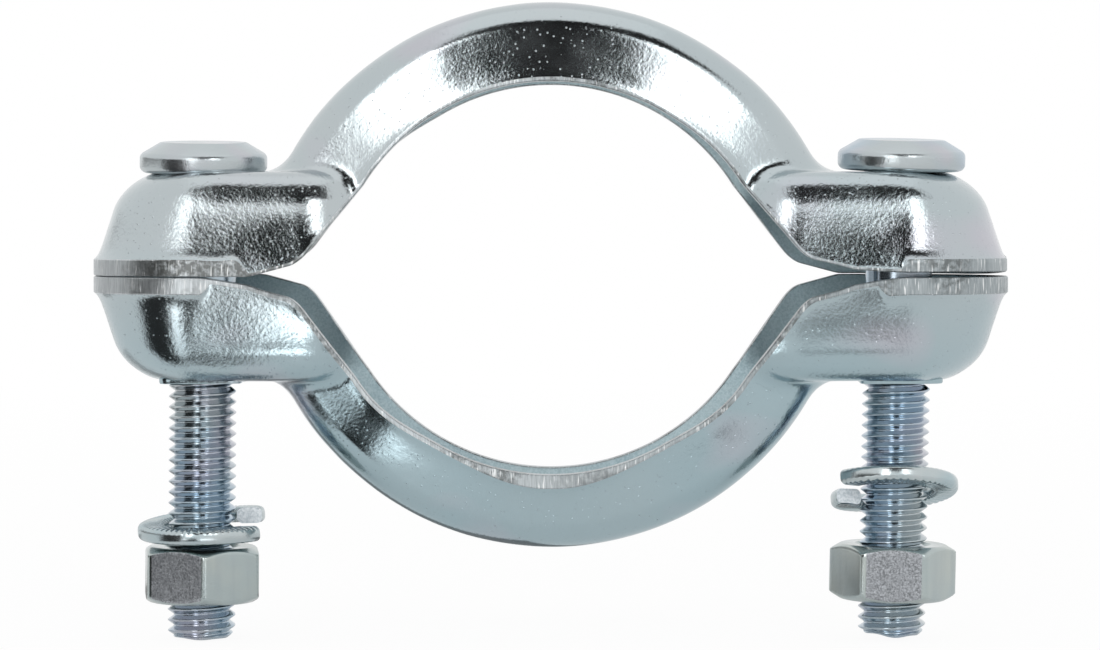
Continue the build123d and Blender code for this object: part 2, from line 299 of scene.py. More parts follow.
def rounded_corner(a, b, radius):
    """Distance from a solid bounded by faces at distances a and b, with a rounded corner:
    the length of the parts of a + radius and b + radius above zero, less the radius."""
    past = np.hypot(np.maximum(a + radius, 0), np.maximum(b + radius, 0))
    return np.minimum(np.maximum(a, b) + radius, 0) + past - radius


def run_together(a, b, width):
    """Distance from the union of two solids, filled in where a and b differ by less than
    width: the smaller one, less the square of what is missing over four widths."""
    near = np.maximum(width - np.abs(a - b), 0)
    return np.minimum(a, b) - near ** 2 / (4 * width)


def larger(a, b, width):
    """The larger of two values, rounded over a width, as run_together does it."""
    return -run_together(-a, -b, width)


def fade(value, start, end):
    """Nought up to start, one from end on, and an S curve between."""
    part = np.clip((value - start) / (end - start), 0, 1)
    return part * part * (3 - 2 * part)


def bell(value, middle, width):
    """Gaussian bump: the exponential of minus the square of the distance in widths."""
    return np.exp(-((value - middle) / width) ** 2)


def ringed(radius, turn, height):
    """Points at a radius and a turn about the upright axis, and at a height."""
    return np.stack(np.broadcast_arrays(radius * np.cos(turn), radius * np.sin(turn), height), -1)


def spun(points, axis, angle):
    """Points turned about an axis by an angle."""
    near, far = [(1, 2), (2, 0), (0, 1)][axis]
    matrix = np.eye(3)
    matrix[near, near] = matrix[far, far] = math.cos(angle)
    matrix[near, far], matrix[far, near] = -math.sin(angle), math.sin(angle)
    return points @ matrix.T


def new_mesh(name, points, faces, materials):
    """Mesh from whole arrays or lists."""
    mesh = bpy.data.meshes.new(name)
    mesh.from_pydata(points, [], faces)
    for material in materials:
        mesh.materials.append(material)
    return mesh


def placed(name, data):
    """New object in the scene."""
    made = bpy.data.objects.new(name, data)
    bpy.context.collection.objects.link(made)
    return made


def mesh_piece(name, points, faces, materials, marks=None):
    """Object at the origin from whole arrays, with merged seams and faces turned outwards.
    marks gives each face's material number."""
    mesh = new_mesh(name, points, faces, materials)
    if marks is not None:
        mesh.polygons.foreach_set("material_index", marks.astype(np.int32))
    body = bmesh.new()
    body.from_mesh(mesh)
    bmesh.ops.remove_doubles(body, verts=body.verts, dist=MERGE)
    bmesh.ops.dissolve_degenerate(body, edges=body.edges, dist=MERGE)
    bmesh.ops.recalc_face_normals(body, faces=body.faces)
    body.to_mesh(mesh)
    body.free()
    return placed(name, mesh)


def smooth(piece, sharp):
    """Smooth shading, split at edges sharper than an angle in degrees."""
    mesh = piece.data
    mesh.polygons.foreach_set("use_smooth", np.ones(len(mesh.polygons), bool))
    mesh.set_sharp_from_angle(angle=math.radians(sharp))


def declare(piece, body, node):
    """Tells the frame which body carries a piece, and which node it stands for."""
    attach(piece, body)
    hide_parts(node)


# --- Pressed halves ----------------------------------------------------------------------
class Pressing:
    """Shape of one pressed half, standing on its edge at Z = 0."""

    def __init__(self, sizes, rim, crown, lips, seed):
        self.sizes, self.rim, self.crown, self.lips, self.seed = sizes, rim, crown, lips, seed
        self.trace_edge()

    def trace_edge(self):
        """The trimmed edge from the middle out to the bolt's axis: the rim's circle, then a
        straight climb down, a gentle one to the mating plane, and the plane itself."""
        s = self.sizes
        x = np.linspace(0, s.bolt_x, EDGE_POINTS)
        joins = s.centre + math.sqrt(self.rim ** 2 - s.edge_meets ** 2)
        steep = (joins - s.edge_corner_z) / (s.edge_corner_x - s.edge_meets)
        gentle = s.edge_corner_z / (s.edge_leaves - s.edge_corner_x)
        climb = larger(s.edge_corner_z + steep * (s.edge_corner_x - x),
                       s.edge_corner_z + gentle * (s.edge_corner_x - x), s.edge_round)
        climb = larger(climb, np.zeros_like(x), s.edge_ease)
        ring = s.centre + np.sqrt(np.maximum(self.rim ** 2 - x ** 2, 0))
        z = np.where(x < s.edge_meets, ring, climb)
        run = np.concatenate([[0], np.cumsum(np.hypot(np.diff(x), np.diff(z)))])
        self.path = run, x, z
        self.end = run[-1]
        # Lean of the sections: radial round the ring, upright at the bolt.
        turn = math.asin(s.edge_meets / self.rim)
        at = np.interp([s.edge_meets, s.edge_corner_x, s.edge_leaves, s.bolt_x], x, run)
        ring_run = np.linspace(0, at[0], RING_LEANS)
        self.lean_run = np.concatenate([ring_run, at[1:]])
        self.leans = np.append(ring_run / at[0] * turn, [s.corner_lean, s.leaving_lean, 0])

    def field(self, p):
        """Distance from the unhollowed half: the ring's trapezoid turned about the pipe, run
        together with each ear's drafted block, both with rounded corners."""
        s = self.sizes
        x, y, z = np.abs(p[..., 0]), np.abs(p[..., 1]), p[..., 2]
        rho = np.hypot(x, z - s.centre)
        draft = s.ring_draft + self.lips["open"] * fade(x / rho, *OPENS)
        wall = (y - s.rim_width / 2 + (rho - s.rim_lower) * np.tan(draft)) * np.cos(draft)
        ring = rounded_corner(wall, rho - self.crown, s.crown_round)

        past = np.maximum(x - s.bolt_x, 0)
        side = np.hypot(past, y) - s.ear_radius
        closing = (s.bolt_x - s.ear_shoulder - x) * math.tan(s.ear_narrowing)
        narrow = (y - s.ear_radius + closing) * math.cos(s.ear_narrowing)
        plan = larger(side, narrow, s.shoulder_round)
        block = (plan + z * math.tan(s.ear_draft)) * math.cos(s.ear_draft)
        # The hollow and the ridge run along an ear's sides and die out round its end.
        hollow = s.draw_line * bell(z, s.draw_height, s.draw_width)
        ridge = s.ridge * bell(z, s.ridge_height, s.ridge_width)
        block = block + (hollow - ridge) * (1 - fade(x, SIDE_ENDS, HOLLOW_ENDS))
        corner = s.side_round + (s.ear_round - s.side_round) * fade(x, SIDE_ENDS, ROUND_FULL)
        ear = rounded_corner(block, z - s.ear_height, corner)
        width = s.blend * (1 - s.blend_loss * fade(y, *BLEND_FADES))
        whole = run_together(ring, ear, width)
        slow = s.wave * hills(p, WAVE_LENGTH, self.seed)
        return whole + slow + s.ripple * hills(p, RIPPLE_LENGTH, self.seed + 1)

    def reach(self, start, heading, level):
        """How far along a heading the field rises to a level, by halving the stretch."""
        low = np.zeros(np.broadcast(start[..., 0], heading[..., 0]).shape)
        high = low + SEARCH_REACH
        for _ in range(SEARCH_STEPS):
            middle = (low + high) / 2
            inside = self.field(start + heading * middle[..., None]) < level
            low, high = np.where(inside, middle, low), np.where(inside, high, middle)
        return (low + high) / 2

    def loop(self, side_count, end_count):
        """Once round the edge: place along it, and the heading out of the wall in plan."""
        side = np.linspace(-self.end, self.end, side_count)
        turn = np.linspace(FRONT, BACK, end_count + 2)[1:-1]
        far = np.full(end_count, self.end)
        run = np.concatenate([side, far, side[::-1], -far])
        plan = np.concatenate([np.full(side_count, FRONT), turn,
                               np.full(side_count, BACK), turn + math.pi])
        return run, plan

    def surface(self, side_count, end_count, outer_rows, inner_rows):
        """Grid round the edge by rows over the section. A row's point lies at a distance out
        of the edge's middle line along an angle between the wall's heading and the section's
        upward line, where the field is nought outside and minus the sheet inside. The lip
        below it is a rectangle with eased corners."""
        s = self.sizes
        run, plan = self.loop(side_count, end_count)
        size, side = np.abs(run), np.sign(run)
        x = side * np.interp(size, self.path[0], self.path[1])
        foot = np.stack([x, 0 * run, np.interp(size, self.path[0], self.path[2])], -1)
        lean = side * np.interp(size, self.lean_run, self.leans)
        up = np.stack([np.sin(lean), 0 * lean, np.cos(lean)], -1)
        out = np.stack([np.cos(plan), np.sin(plan), 0 * plan], -1)
        foot = foot + up * self.trimmed(x, plan)[:, None]

        def section(across, height):
            """Points so far out of the middle line and so far above the edge."""
            return foot + out * across[:, None] + up * height[:, None]

        def swept(first, shares, level):
            """Rows on a level of the field, at shares of the turn from a first angle up."""
            theta = first + (math.pi / 2 - first) * shares[:, None]
            ray = out * np.cos(theta)[..., None] + up * np.sin(theta)[..., None]
            return foot + ray * self.reach(foot, ray, level)[..., None]

        lip = self.lip_height(run, x, plan)
        wide = self.reach(foot, out, 0)
        drawn_in = fade(np.abs(foot[:, 0]), LIP_NARROWS, SIDE_ENDS)
        wide = wide - drawn_in * (s.ear_radius - s.lip_radius)
        ledge = self.reach(foot + up * lip[:, None], out, 0)
        ledge = np.minimum(ledge, wide - LEAST_LEDGE)
        ease = np.minimum(s.lip_ease, lip / 3)
        wall = swept(np.arctan2(lip, ledge), np.linspace(0, 1, outer_rows)[:0:-1], 0)
        # The wall flares out into the lip: by an exponential of the height above the lip.
        flare = s.lip_flare * (wide - ledge)
        above = np.maximum(((wall - foot) * up).sum(-1) - lip, 0)
        wall = wall + out * (flare * np.exp(-above / s.flare_height))[..., None]
        ledge = ledge + flare
        inner = self.reach(foot, out, -s.sheet)
        edge = [(ledge, lip), (np.maximum(wide - ease, ledge), lip), (wide, lip - ease),
                (wide, ease + (lip - 2 * ease) * 0.66), (wide, ease + (lip - 2 * ease) * 0.33),
                (wide, ease), (wide - ease, 0 * lip), ((inner + wide) / 2, 0 * lip),
                (inner + ease, 0 * lip), (inner, ease)]
        hollow = swept(np.arctan2(ease * 2, inner), np.linspace(0, 1, inner_rows), -s.sheet)
        self.wall_rows, self.inner_rows = len(wall), len(wall) + len(edge)
        return np.concatenate([wall, [section(*corner) for corner in edge], hollow])

    def trimmed(self, x, plan):
        """How far the edge is cut back: by one amount on the front's slopes and another on
        the back's, each side of the pipe, and by one more along the front of the right ear."""
        slope = fade(np.abs(x), *SLOPE_STARTS) * (1 - fade(np.abs(x), *SLOPE_ENDS))
        facing = -np.sin(plan)
        left, right = self.lips["cut_left"], self.lips["cut_right"]
        front = np.where(x < 0, left[0], right[0]) * np.maximum(facing, 0)
        back = np.where(x < 0, left[1], right[1]) * np.maximum(-facing, 0)
        lift = self.lips["lift"] * fade(x, *LIFT_STARTS) * fade(facing, *FACES_FRONT)
        return slope * (front + back) + lift

    def lip_height(self, run, x, plan):
        """Height of the trimmed lip along the edge: full round the ears' ends and round the
        middle of the ring, where the piece has it, and next to nothing along the slopes."""
        lips = self.lips
        ends = np.where(x < 0, lips["front_left"], lips["front_right"])
        ends = np.where(np.sin(plan) < 0, ends, lips["back"])
        at_ear = np.sqrt(fade(np.abs(x), ends - lips["scallop"], ends))
        at_ring = 1 - fade(np.abs(x), *RING_LIP)
        share, rate = LIP_WOBBLE
        wobble = 1 + share * np.sin(run / MM * rate + self.seed) * at_ear
        return (lips["least"] + (lips["ear"] - lips["least"]) * at_ear * wobble
                + (lips["ring"] - lips["least"]) * at_ring)


def half_piece(name, shape, turned, materials):
    """Mesh of a half from its grid. The part about the bolts' axes is closed by merging the
    rows that end on the middle line, and the square holes are cut through afterwards."""
    s = shape.sizes
    rows = shape.surface(side_count=470, end_count=84, outer_rows=56, inner_rows=30)
    count, columns = rows.shape[:2]
    row = np.repeat(np.arange(count - 1), columns)
    cut = (row >= shape.wall_rows + 1) & (row < shape.inner_rows - 1)
    marks = np.where(cut, 1, np.where(row >= shape.inner_rows - 1, 2, 0))
    points = rows.reshape(-1, 3) + np.array([0, 0, s.gap / 2])
    if turned:
        points = points * np.array([-1, 1, -1])
    piece = mesh_piece(name, points, grid_faces(count, columns), materials, marks)
    cut_holes(piece, s, -1 if turned else 1)
    if turned:
        add_burrs(piece, s)
    smooth(piece, 40)
    return piece


def square_ring(side, corner, count):
    """Points of a square with rounded corners, as a radius for each angle: the smaller of
    the flat side's and the corner arc's."""
    turn = circle(count)
    near = np.abs((turn + math.pi / 4) % (math.pi / 2) - math.pi / 4)
    flat = side / 2 / np.cos(near)
    inset = side / 2 - corner
    away = math.sqrt(2) * inset
    off = math.pi / 4 - near
    arc = away * np.cos(off) + np.sqrt(np.maximum(corner ** 2 - (away * np.sin(off)) ** 2, 0))
    in_corner = flat * np.sin(near) > inset
    return turn, np.where(in_corner, arc, flat)


def cut_holes(piece, s, flip):
    """Takes a square prism out of each ear, above or below the mating plane."""
    count = HOLE_COLUMNS
    turn, radius = square_ring(s.hole, HOLE_CORNER, count)
    past = 3 * MM
    for side in (-1, 1):
        levels = np.array([s.ear_height - s.sheet - past, s.ear_height + past]) * flip
        points = np.concatenate([ringed(radius, turn, z) for z in levels])
        caps = [list(range(count)), list(range(count, 2 * count))]
        cutter = mesh_piece("cutter", points + [side * s.bolt_x, 0, 0],
                            grid_faces(2, count).tolist() + caps, [])
        cut = piece.modifiers.new("hole", "BOOLEAN")
        cut.object, cut.operation, cut.solver = cutter, "DIFFERENCE", "EXACT"
        bpy.context.view_layer.update()
        done = piece.evaluated_get(bpy.context.evaluated_depsgraph_get())
        mesh = bpy.data.meshes.new_from_object(done)
        piece.modifiers.clear()
        piece.data = mesh
        bpy.data.meshes.remove(cutter.data)


def add_burrs(piece, s):
    """Raised burr round each hole of the lower half, under its ears: a square profile
    carried round the hole's outline, with an uneven edge."""
    count, rough, sunk = BURR_COLUMNS, 0.12 * MM, 0.4 * MM
    turn, inner = square_ring(s.hole, HOLE_CORNER, count)
    outer = square_ring(s.hole + 2 * s.burr_wall, HOLE_CORNER + s.burr_wall, count)[1]
    body = bmesh.new()
    body.from_mesh(piece.data)
    foot = s.ear_height + s.gap / 2
    for side in (-1, 1):
        uneven = hills(np.stack([turn, 0 * turn, 0 * turn], -1), 1.3, 5 + side)
        top = foot + s.burr_height - rough * (1 + uneven)
        low = np.full(count, foot - sunk)
        rings = [(outer, low), (outer - 0.05 * MM, top - rough), (outer - 0.15 * MM, top),
                 (inner + 0.08 * MM, top), (inner, top - 0.1 * MM), (inner, low), (outer, low)]
        points = np.concatenate([ringed(radius, turn, -depth) for radius, depth in rings])
        burr = mesh_piece("burr", points + [side * s.bolt_x, 0, 0],
                          grid_faces(len(rings), count), [])
        body.from_mesh(burr.data)
        bpy.data.meshes.remove(burr.data)
    body.to_mesh(piece.data)
    body.free()


# --- Turned pieces -----------------------------------------------------------------------
def leaned(points, place):
    """Puts points that stand on a bolt's axis where the bolt leans: lifted, turned about Y
    at the mating plane, and moved out along X. place says the side, -1 or 1, the lean, the
    lift and the bolts' half spacing."""
    side, lean, lift, spot = place
    return spun(points + [0, 0, lift], 1, lean) + [side * spot, 0, 0]


def eased(profile, steps):
    """Profile of (radius, height, rounding) corners, with an arc of steps points at each
    corner that has a rounding: the arc touches both neighbouring lines."""
    corners = np.array(profile, float)
    made = [corners[0, :2]]
    for before, here, after in zip(corners[:-2], corners[1:-1], corners[2:]):
        if here[2] <= 0:
            made.append(here[:2])
            continue
        a = (before[:2] - here[:2]) / np.linalg.norm(before[:2] - here[:2])
        b = (after[:2] - here[:2]) / np.linalg.norm(after[:2] - here[:2])
        half = math.acos(np.clip(a @ b, -1, 1)) / 2
        start, end = (here[:2] + way * here[2] / math.tan(half) for way in (a, b))
        middle = here[:2] + (a + b) / np.linalg.norm(a + b) * here[2] / math.sin(half)
        share = np.linspace(0, 1, steps)[:, None]
        chord = start * (1 - share) + end * share - middle
        made.extend(middle + chord / np.linalg.norm(chord, axis=1)[:, None] * here[2])
    made.append(corners[-1, :2])
    return np.array(made)


def bolt_piece(name, s, place, end_wave, materials):
    """Bolt as rings about its axis. The head is a turned profile, the neck's radius is that
    of a rounded square, and the thread's radius falls from crest to root and back with the
    place within a pitch of height less turn over a full circle, which is right-handed."""
    side = place[0]
    turn = circle(BOLT_COLUMNS)
    one = np.ones(BOLT_COLUMNS)
    top = s.head_height
    head = eased([(0, top, 0), (s.head_flat, top, s.top_ease),
                  (s.head_radius, s.head_rim, s.rim_ease), (s.head_radius, 0, s.foot_ease),
                  (s.neck / 2, 0, 0)], steps=7)[:-1]
    head_radius = head[:, :1] * one
    waver = s.head_waver * np.sin(3 * turn + side)
    head_radius = head_radius + waver * (head_radius > s.head_flat)
    neck_height = np.array([[0], [-0.4], [-0.8], [-1]]) * s.neck_length * one
    neck_radius = square_ring(s.neck, HOLE_CORNER, BOLT_COLUMNS)[1] * np.ones_like(neck_height)

    levels = np.arange(-s.neck_length, -s.reach, -s.pitch / PER_PITCH)
    down = np.append(levels, -s.reach)[:, None] * one
    within = (down / s.pitch - turn / (2 * math.pi)) % 1
    steepness, crest, power = FLANK
    flank = np.clip(np.abs(within - 0.5) * 2 * steepness - crest, 0, 1)
    runs_in = fade(-down, s.thread_top - 1.5 * s.pitch, s.thread_top)
    shank = s.shank - s.depth * flank ** power * runs_in - s.crest * (1 - runs_in)
    # The nicks are looked up by turn and height, so they do not follow the thread.
    spots = np.broadcast_arrays(turn * 1.3, down / MM * 0.35, 0 * turn)
    shank = shank + s.nick * hills(np.stack(spots, -1), 0.9, 11 + side) * runs_in
    near_end = np.maximum(0, 1 - (down + s.reach) / s.point_height)
    shank = np.minimum(shank, s.shank - s.point_depth * near_end ** 1.4)
    tail = fade(-down, s.reach - s.ragged, s.reach)
    ragged = 0.5 + 0.5 * np.sin(turn * 2 + 1) + 0.3 * np.sin(turn * 5)
    down = down + tail * end_wave * ragged

    tip = np.array([[0.9], [0.55], [0.0]]) * shank[-1:]
    tip_height = np.repeat(down[-1:], len(tip), 0)
    tip_height[-1] = tip_height[-1].mean()
    radius = np.concatenate([head_radius, neck_radius, shank, tip])
    height = np.concatenate([head[:, 1:] * one, neck_height, down, tip_height])
    points = ringed(radius, turn, height)
    points[:len(head)] = spun(points[:len(head)], 0, s.nod)
    points = leaned(points, place).reshape(-1, 3)
    piece = mesh_piece(name, points, grid_faces(len(radius), BOLT_COLUMNS), materials)
    smooth(piece, 50)
    return piece


def oblong(width, thickness, corner, step):
    """Outline of an oblong with rounded corners, as points about a step apart."""
    arcs = []
    for k, (x, z) in enumerate(((1, 1), (-1, 1), (-1, -1), (1, -1))):
        turn = np.linspace(0, math.pi / 2, 5) + k * math.pi / 2
        arcs.append(np.stack([x * (width / 2 - corner) + corner * np.cos(turn),
                              z * (thickness / 2 - corner) + corner * np.sin(turn)], -1))
    ring = np.concatenate(arcs)
    spread = []
    for here, after in zip(ring, np.roll(ring, -1, 0)):
        parts = max(1, int(round(np.linalg.norm(after - here) / step)))
        spread.append(here + (after - here) * (np.arange(parts) / parts)[:, None])
    return np.concatenate(spread)


def washer_piece(name, s, start, tilt, roll, place, grooves, materials):
    """Spring washer: a rounded oblong section carried along a left-hand helix. The height in
    the section gives the face that a point lies on, and shallow grooves run aslant there."""
    ring = oblong(s.width, s.thickness, s.corner, OUTLINE_STEP)
    across, above = ring[:, 0], ring[:, 1]
    turn = np.linspace(0, s.turn, WASHER_ROWS)[:, None]
    face = s.thickness / 2
    on_top, on_bottom = (fade(way * above, face - s.corner, face) for way in (1, -1))
    aslant = np.sin(grooves["count"] * turn + across / MM * grooves["slant"]
                    + 1.7 * np.sin(turn * 3) + 1.1 * np.sin(turn * 7 + 2))
    cut = s.groove * np.maximum(aslant, -0.4)
    above = above - cut * (on_top * grooves["top"] - on_bottom * grooves["bottom"])
    across = across + s.waver * np.sin(turn * 5 + 1) * (across > 0)
    rise = s.pitch * s.turn / (2 * math.pi)
    points = ringed(s.radius - s.width / 2 + across, -turn, above + rise * (turn / s.turn - 0.5))
    points = spun(spun(spun(points.reshape(-1, 3), 2, start), 1, roll), 0, tilt)
    first = list(range(len(ring)))
    ends = [first, [len(points) - len(ring) + column for column in first]]
    sides = grid_faces(WASHER_ROWS, len(ring)).tolist()
    marks = np.repeat([0, 1], [len(sides), len(ends)])
    piece = mesh_piece(name, leaned(points, place), sides + ends, materials, marks)
    smooth(piece, 38)
    return piece


def nut_piece(name, s, corner, place, materials):
    """Hexagon nut as rings about its axis. The flats' radius is the blend of six straight
    sides, the sum of their powers, and each bevel's edge is as high above the end as that
    radius passes the end's flat ring, times the bevel's slope. The last flat has the second
    material."""
    turn = circle(NUT_COLUMNS)
    flats = corner + math.pi / 6 + np.arange(6) * math.pi / 3
    facing = np.maximum(np.cos(turn[:, None] - flats), 0)
    hexagon = (facing ** s.roundness).sum(1) ** (-1 / s.roundness) * s.across / 2
    slope, soft = math.tan(s.bevel), s.soft
    edge = (hexagon - s.face) * slope
    far, near, tight = 0.5 * MM, 0.1 * MM, 0.03 * MM
    low = [(s.bore, s.mouth), (s.bore + s.mouth, 0), (s.face - far, 0), (s.face - near, 0),
           (s.face + near, near / 2), (hexagon - soft, edge - soft * slope),
           (hexagon - tight, edge + tight), (hexagon, edge + soft), (hexagon, edge + 3 * soft)]
    rings = low + [(hexagon, s.height / 2)] + [(r, s.height - z) for r, z in low[::-1]]
    rings.append(rings[0])
    one = np.ones(NUT_COLUMNS)
    radius, height = (np.array([pair[part] * one for pair in rings]) for part in (0, 1))
    points = leaned(ringed(radius, turn, height), place).reshape(-1, 3)
    past = turn + math.pi / NUT_COLUMNS - flats[-1]
    off = np.abs((past + math.pi) % (2 * math.pi) - math.pi)
    ring = np.arange(len(rings) - 1)
    upright = (ring >= len(low) - 3) & (ring < len(low) + 3)
    marks = (upright[:, None] & (off < GRAIN_HALF)[None]).astype(int).ravel()
    piece = mesh_piece(name, points, grid_faces(len(rings), NUT_COLUMNS), materials, marks)
    smooth(piece, 28)
    return piece


# --- Materials ---------------------------------------------------------------------------
class Shade:
    """One output of a material's nodes, which sums and products can use."""

    def __init__(self, tree, socket=None):
        self.tree, self.socket = tree, socket

    def node(self, kind, settings=None, sockets=None, output=0):
        """Adds a node, gives it its settings, then values or links for its sockets."""
        made = self.tree.nodes.new("ShaderNode" + kind)
        for name, value in (settings or {}).items():
            setattr(made, name, value)
        for name, value in (sockets or {}).items():
            if isinstance(value, Shade):
                self.tree.links.new(value.socket, made.inputs[name])
            else:
                made.inputs[name].default_value = value
        return Shade(self.tree, made.outputs[output])

    def maths(self, operation, first, second=0.0):
        """Math node."""
        return self.node("Math", {"operation": operation}, {0: first, 1: second})

    def __add__(self, other):
        return self.maths("ADD", self, other)

    def __rsub__(self, other):
        return self.maths("SUBTRACT", other, self)

    def __mul__(self, other):
        return self.maths("MULTIPLY", self, other)

    __radd__ = __add__
    __rmul__ = __mul__

    def size(self):
        """This value without its sign."""
        return self.maths("ABSOLUTE", self)

    def over(self, low, high):
        """Nought below low, one above high, straight between."""
        return self.node("MapRange", {"clamp": True}, {0: self, 1: low, 2: high, 3: 0.0, 4: 1.0})

    def mixed(self, *ends):
        """Mix of two colours by this value."""
        first, second = (end if isinstance(end, Shade) else rgba(end) for end in ends)
        return self.node("Mix", {"data_type": "RGBA"}, {0: self, 6: first, 7: second}, 2)

    def place(self):
        """Object coordinates."""
        return self.node("TexCoord", output=3)

    def axis(self, index):
        """One object coordinate: 0 across, 1 back, 2 up."""
        return self.node("SeparateXYZ", {}, {0: self.place()}, index)

    def noise(self, scale, detail=2.0, rough=0.5, stretch=None):
        """Noise on object coordinates, stretched along an axis where stretch says."""
        place = self.place()
        if stretch:
            place = self.node("Mapping", {}, {"Vector": place, "Scale": stretch})
        return self.node("TexNoise", {}, {"Vector": place, "Scale": scale, "Detail": detail,
                                          "Roughness": rough}, "Fac")

    def cells(self, feature, scale):
        """Distance in a pattern of cells on object coordinates."""
        return self.node("TexVoronoi", {"feature": feature},
                         {"Vector": self.place(), "Scale": scale}, "Distance")

    def ray(self, kind):
        """One for rays of a kind, nought for the others."""
        return self.node("LightPath", output="Is %s Ray" % kind)

    def show(self, kind="Material"):
        """Makes this shader what a material or a world shows."""
        output = self.tree.nodes.new("ShaderNodeOutput" + kind)
        self.tree.links.new(self.socket, output.inputs[0])


def rgba(values):
    """Colour with full alpha."""
    return (*values, 1.0)


def emptied(block):
    """Shade to build a material's or a world's nodes with, from nothing."""
    block.use_nodes = True
    block.node_tree.nodes.clear()
    return Shade(block.node_tree)


def new_material(name):
    """Empty material and a Shade to build with."""
    material = bpy.data.materials.new(name)
    return material, emptied(material)


def finish(tint, rough, relief, distance, metallic=1.0):
    """Metal with a colour, a roughness and a relief from the nodes."""
    bump = tint.node("Bump", {}, {"Height": relief, "Distance": distance})
    tint.node("BsdfPrincipled", {}, {"Base Color": tint, "Roughness": rough, "Normal": bump,
                                     "Metallic": metallic}).show()


def pressed_zinc(colours):
    """Bright zinc on pressed sheet: drifting tints, painted shade that turns it darker and
    bluer towards the bottom, a hammered grain in patches that is strongest at the ears,
    pits, and specks on the walls."""
    material, shade = new_material("pressed_zinc")
    drift = shade.noise(38.0).over(0.36, 0.64)
    warm = shade.noise(61.0, 1.0, stretch=(1.0, 1.3, 1.7)).over(0.56, 0.72)
    # Painted shade: the sheet turns darker and bluer, towards teal, lower down, fully from 12 mm
    # under the mating plane; a random drift is added to it.
    low_shade_and_drift = (1 - shade.axis(2).over(-0.012, 0.004)) * 0.8 + drift * 0.25
    tint = low_shade_and_drift.over(0.0, 1.0).mixed(colours.zinc, colours.teal)
    tint = (warm * 0.6).mixed(tint, colours.lilac)
    pits = shade.noise(2300.0, 2.0, 0.6).over(0.66, 0.74)
    tint = (pits * 0.35).mixed(tint, (0.22, 0.25, 0.27))
    grain = shade.noise(4200.0, 4.0, 0.7)
    cells = shade.cells("SMOOTH_F1", 2600.0)
    on_wall = shade.axis(1).size().over(0.0048, 0.0058)
    specks = (1 - shade.cells("F1", 1400.0).over(0.07, 0.16)) * (on_wall * 0.9 + 0.1)
    coarse = shade.noise(1300.0, 2.0, 0.6)
    patches = shade.noise(90.0).over(0.38, 0.60)
    at_ear = shade.axis(0).size().over(0.022, 0.031)
    relief = ((grain * 0.8 + cells * 0.7) * (patches * 0.6 + 0.4) * (at_ear * 0.9 + 0.5)
              + coarse * (at_ear * 0.5 + 0.3) + specks * 1.2)
    rough = shade.noise(210.0) * 0.12 + 0.06 + pits * 0.2
    finish(tint, rough, relief, 26 * UM)
    return material


def inner_zinc_painted_light():
    """Duller zinc inside the halves, coarse and soft in gloss. Painted light: it is less
    metallic and teal, so that the inside, which lies in shade, reads as a lit teal grey.
    """
    material, shade = new_material("inner_zinc_painted_light")
    grain = shade.noise(3600.0, 3.0, 0.7)
    tint = shade.noise(120.0).over(0.35, 0.65).mixed((0.38, 0.49, 0.52), (0.30, 0.41, 0.45))
    tint = (grain.over(0.40, 0.60) * 0.5).mixed(tint, (0.58, 0.68, 0.71))
    finish(tint, grain * 0.2 + 0.36, grain, 40 * UM, metallic=0.35)
    return material


def sheared_zinc():
    """Zinc over the sheared edge: short upright scores and a coarser, whiter surface, which
    is darker towards the right and dark under the left ear of the upper half."""
    material, shade = new_material("sheared_zinc")
    scores = shade.noise(5200.0, 2.0, 0.6, stretch=(1.0, 1.0, 0.07))
    rare = shade.noise(4300.0, 1.0, 0.5, stretch=(1.0, 1.0, 0.10)).over(0.62, 0.72)
    breaks = shade.noise(1500.0, 3.0, 0.6)
    dark = shade.noise(150.0, 1.0).over(0.45, 0.60)
    across = shade.axis(0)
    tone = across.over(-0.040, 0.040)
    pale = tone.mixed((0.60, 0.635, 0.65), (0.41, 0.45, 0.465))
    deep = tone.mixed((0.42, 0.45, 0.465), (0.28, 0.315, 0.33))
    tint = scores.over(0.35, 0.65).mixed(deep, pale)
    tint = (dark * breaks.over(0.40, 0.60) * 0.75).mixed(tint, (0.12, 0.13, 0.13))
    left = (1 - across.over(-0.029, -0.026)) * across.over(-0.0485, -0.0455)
    worn = left * shade.axis(2).over(0.0, 0.0002)
    tint = (worn * breaks.over(0.30, 0.55) * 0.8).mixed(tint, (0.10, 0.105, 0.10))
    tint = rare.mixed(tint, (0.78, 0.80, 0.80))
    relief = scores * 0.7 + rare * 0.5 + breaks * (worn * 1.2 + 0.5)
    finish(tint, breaks * 0.2 + 0.26, relief, 24 * UM)
    return material


def bolt_zinc(colours):
    """Smooth zinc on the bolts, with lilac and blue drifts and a light drawn grain."""
    material, shade = new_material("bolt_zinc")
    drift = shade.noise(95.0).over(0.38, 0.62)
    warm = shade.noise(140.0, 1.0).over(0.5, 0.66) * 0.5
    tint = warm.mixed(drift.mixed(colours.zinc, (0.40, 0.49, 0.57)), colours.lilac)
    grain = shade.noise(2600.0, 3.0, 0.6)
    coarse = shade.noise(600.0)
    on_head = shade.axis(2).over(0.0105, 0.0120)
    rough = shade.noise(300.0) * 0.14 + 0.10 + on_head * 0.08
    relief = grain * (on_head * 1.4 + 0.5) + coarse * (on_head * 2.0 + 1.0)
    finish(tint, rough, relief, 12 * UM)
    return material


def washer_zinc():
    """Drawn wire zinc of the spring washers."""
    material, shade = new_material("washer_zinc")
    tint = shade.noise(160.0).over(0.38, 0.62).mixed((0.50, 0.55, 0.56), (0.41, 0.50, 0.53))
    grain = shade.noise(2600.0, 3.0, 0.6)
    finish(tint, shade.noise(400.0) * 0.16 + 0.13, grain, 12 * UM)
    return material


def cut_zinc():
    """Pale frosted zinc on the cut ends of the spring washers."""
    material, shade = new_material("cut_zinc")
    grain = shade.noise(3200.0, 3.0, 0.7)
    tint = grain.over(0.40, 0.62).mixed((0.58, 0.64, 0.68), (0.86, 0.90, 0.93))
    finish(tint, grain * 0.1 + 0.40, grain, 18 * UM, metallic=0.5)
    return material


